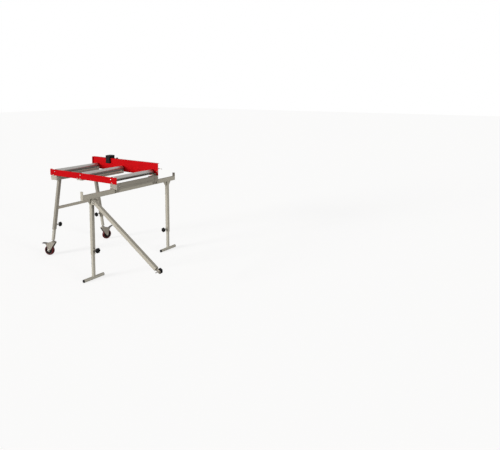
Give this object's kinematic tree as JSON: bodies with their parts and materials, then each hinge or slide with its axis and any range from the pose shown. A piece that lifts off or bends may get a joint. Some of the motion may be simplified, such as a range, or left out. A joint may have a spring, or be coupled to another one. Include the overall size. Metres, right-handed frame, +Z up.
{
  "type": "outfeed roller table",
  "caption": "Roller table with a fence and length stop that stands beside a saw on telescoping caster legs and a guide rail with its own legs, braced to the saw.",
  "frame": {"origin": "on the floor, under the middle of the whole table's outline seen from above", "axes": "+X along the fence towards the saw, +Y from the low side rail to the fence, +Z up"},
  "size_m": [1.7548, 1.163, 0.953],
  "materials": {
    "red_paint": "gloss enamel",
    "grey_paint": "satin powder coat",
    "pale_paint": "satin powder coat",
    "zinc": "zinc plated",
    "bolt_steel": "zinc plated",
    "roller_steel": "polished steel tube",
    "black_plastic": "moulded",
    "pedal_paint": "satin black",
    "tread_rubber": "red polyurethane tread",
    "nylon": "natural nylon"
  },
  "bodies": {
    "deck": {"side_rail": "red_paint", "fence": "red_paint", "left_cross_beam": "grey_paint", "middle_cross_member": "grey_paint", "right_cross_beam": "grey_paint", "front_carriage_bracket": "zinc", "rear_carriage_bracket": "zinc", "carriage_glides": "nylon", "frame_bolts": "bolt_steel", "locating_pins": "bolt_steel", "roller_axles": "bolt_steel", "axle_bolts": "bolt_steel", "front_caster_leg_tube": "grey_paint", "rear_caster_leg_tube": "grey_paint", "caster_leg_crossbar": "grey_paint"},
    "left_roller": {"left_roller_tube": "roller_steel", "left_roller_caps": "black_plastic"},
    "middle_roller": {"middle_roller_tube": "roller_steel", "middle_roller_caps": "black_plastic"},
    "right_roller": {"right_roller_tube": "roller_steel", "right_roller_caps": "black_plastic"},
    "stop": {"stop_carrier": "black_plastic", "stop_hinge_pin": "zinc"},
    "stop_plate": {"stop_flap": "black_plastic"},
    "stop_clamp": {"stop_knob": "black_plastic"},
    "guide": {"guide_rail": "grey_paint", "guide_rail_stops": "grey_paint", "front_leg_tube": "grey_paint", "rear_leg_tube": "grey_paint", "leg_gussets": "grey_paint", "brace_bracket": "grey_paint", "brace_pivot_bolt": "bolt_steel"},
    "brace": {"brace_tube": "grey_paint", "brace_tongue": "zinc"},
    "brace_clamp": {"brace_knob": "black_plastic"},
    "front_caster_leg": {"front_caster_leg_slider": "pale_paint", "front_caster_top": "zinc"},
    "front_caster_clamp": {"front_caster_leg_knob": "black_plastic"},
    "front_caster": {"front_caster_fork": "zinc", "front_caster_pins": "bolt_steel"},
    "front_wheel": {"front_wheel_core": "black_plastic", "front_wheel_tread": "tread_rubber"},
    "front_pedal": {"front_caster_pedal": "pedal_paint"},
    "rear_caster_leg": {"rear_caster_leg_slider": "pale_paint", "rear_caster_top": "zinc"},
    "rear_caster_clamp": {"rear_caster_leg_knob": "black_plastic"},
    "rear_caster": {"rear_caster_fork": "zinc", "rear_caster_pins": "bolt_steel"},
    "rear_wheel": {"rear_wheel_core": "black_plastic", "rear_wheel_tread": "tread_rubber"},
    "rear_pedal": {"rear_caster_pedal": "pedal_paint"},
    "front_leg": {"front_leg_slider": "pale_paint", "front_foot_tube": "pale_paint", "front_foot_plugs": "black_plastic"},
    "front_leg_clamp": {"front_leg_knob": "black_plastic"},
    "rear_leg": {"rear_leg_slider": "pale_paint", "rear_foot_tube": "pale_paint", "rear_foot_plugs": "black_plastic"},
    "rear_leg_clamp": {"rear_leg_knob": "black_plastic"}
  },
  "joints": [
    {"name": "left_roller_spin", "type": "hinge", "parent": "deck", "child": "left_roller", "pos_m": [-0.7665, 0.0385, 0.836], "axis": [0, 1, 0], "continuous": true},
    {"name": "middle_roller_spin", "type": "hinge", "parent": "deck", "child": "middle_roller", "pos_m": [-0.3795, 0.0385, 0.836], "axis": [0, 1, 0], "continuous": true},
    {"name": "right_roller_spin", "type": "hinge", "parent": "deck", "child": "right_roller", "pos_m": [0.0435, 0.0385, 0.836], "axis": [0, 1, 0], "continuous": true},
    {"name": "stop_slide", "type": "slide", "parent": "deck", "child": "stop", "axis": [1, 0, 0], "range_m": [-0.215, 0.585]},
    {"name": "stop_plate_flip", "type": "hinge", "parent": "stop", "child": "stop_plate", "pos_m": [-0.6195, 0.293, 0.9455], "axis": [1, 0, 0], "range_deg": [-175, 0]},
    {"name": "stop_clamp_turn", "type": "hinge", "parent": "stop", "child": "stop_clamp", "pos_m": [-0.5145, 0.3413, 0.916], "axis": [1, 0, 0], "continuous": true},
    {"name": "front_caster_leg_height", "type": "slide", "parent": "deck", "child": "front_caster_leg", "axis": [0, -0.153, -0.9882], "range_m": [-0.1, 0.1]},
    {"name": "front_caster_clamp_turn", "type": "hinge", "parent": "deck", "child": "front_caster_clamp", "pos_m": [-0.7655, -0.25013, 0.306], "axis": [0, 0.9882, -0.153], "continuous": true},
    {"name": "front_caster_swivel", "type": "hinge", "parent": "front_caster_leg", "child": "front_caster", "pos_m": [-0.7655, -0.27273, 0], "axis": [0, 0, 1], "continuous": true},
    {"name": "front_wheel_spin", "type": "hinge", "parent": "front_caster", "child": "front_wheel", "pos_m": [-0.80685, -0.28778, 0.05], "axis": [0.342, -0.9397, 0], "continuous": true},
    {"name": "front_pedal_press", "type": "hinge", "parent": "front_caster", "child": "front_pedal", "pos_m": [-0.8294, -0.29599, 0.11], "axis": [-0.342, 0.9397, 0], "range_deg": [0, 22]},
    {"name": "rear_caster_leg_height", "type": "slide", "parent": "deck", "child": "rear_caster_leg", "axis": [0, 0.153, -0.9882], "range_m": [-0.1, 0.1]},
    {"name": "rear_caster_clamp_turn", "type": "hinge", "parent": "deck", "child": "rear_caster_clamp", "pos_m": [-0.7655, 0.32713, 0.306], "axis": [0, -0.9882, -0.153], "continuous": true},
    {"name": "rear_caster_swivel", "type": "hinge", "parent": "rear_caster_leg", "child": "rear_caster", "pos_m": [-0.7655, 0.34973, 0], "axis": [0, 0, 1], "continuous": true},
    {"name": "rear_wheel_spin", "type": "hinge", "parent": "rear_caster", "child": "rear_wheel", "pos_m": [-0.75786, 0.39306, 0.05], "axis": [-0.9848, 0.1736, 0], "continuous": true},
    {"name": "rear_pedal_press", "type": "hinge", "parent": "rear_caster", "child": "rear_pedal", "pos_m": [-0.75369, 0.4167, 0.11], "axis": [0.9848, -0.1736, 0], "range_deg": [-22, 0]},
    {"name": "guide_slide", "type": "slide", "parent": "deck", "child": "guide", "axis": [0, 1, 0], "range_m": [-0.265, 0.34]},
    {"name": "front_leg_height", "type": "slide", "parent": "guide", "child": "front_leg", "axis": [0, 0, -1], "range_m": [-0.15, 0.12]},
    {"name": "front_leg_clamp_turn", "type": "hinge", "parent": "guide", "child": "front_leg_clamp", "pos_m": [0.0765, -0.4735, 0.265], "axis": [1, 0, 0], "continuous": true},
    {"name": "rear_leg_height", "type": "slide", "parent": "guide", "child": "rear_leg", "axis": [0, 0, -1], "range_m": [-0.12, 0.12]},
    {"name": "rear_leg_clamp_turn", "type": "hinge", "parent": "guide", "child": "rear_leg_clamp", "pos_m": [0.0765, 0.4735, 0.223], "axis": [0, -1, 0], "continuous": true},
    {"name": "brace_pivot", "type": "hinge", "parent": "guide", "child": "brace", "pos_m": [0.1165, -0.4735, 0.688], "axis": [0, 1, 0], "range_deg": [-32, 15]},
    {"name": "brace_clamp_turn", "type": "hinge", "parent": "brace", "child": "brace_clamp", "pos_m": [0.8493, -0.4735, 0.22653], "axis": [0, 1, 0], "continuous": true}
  ]
}
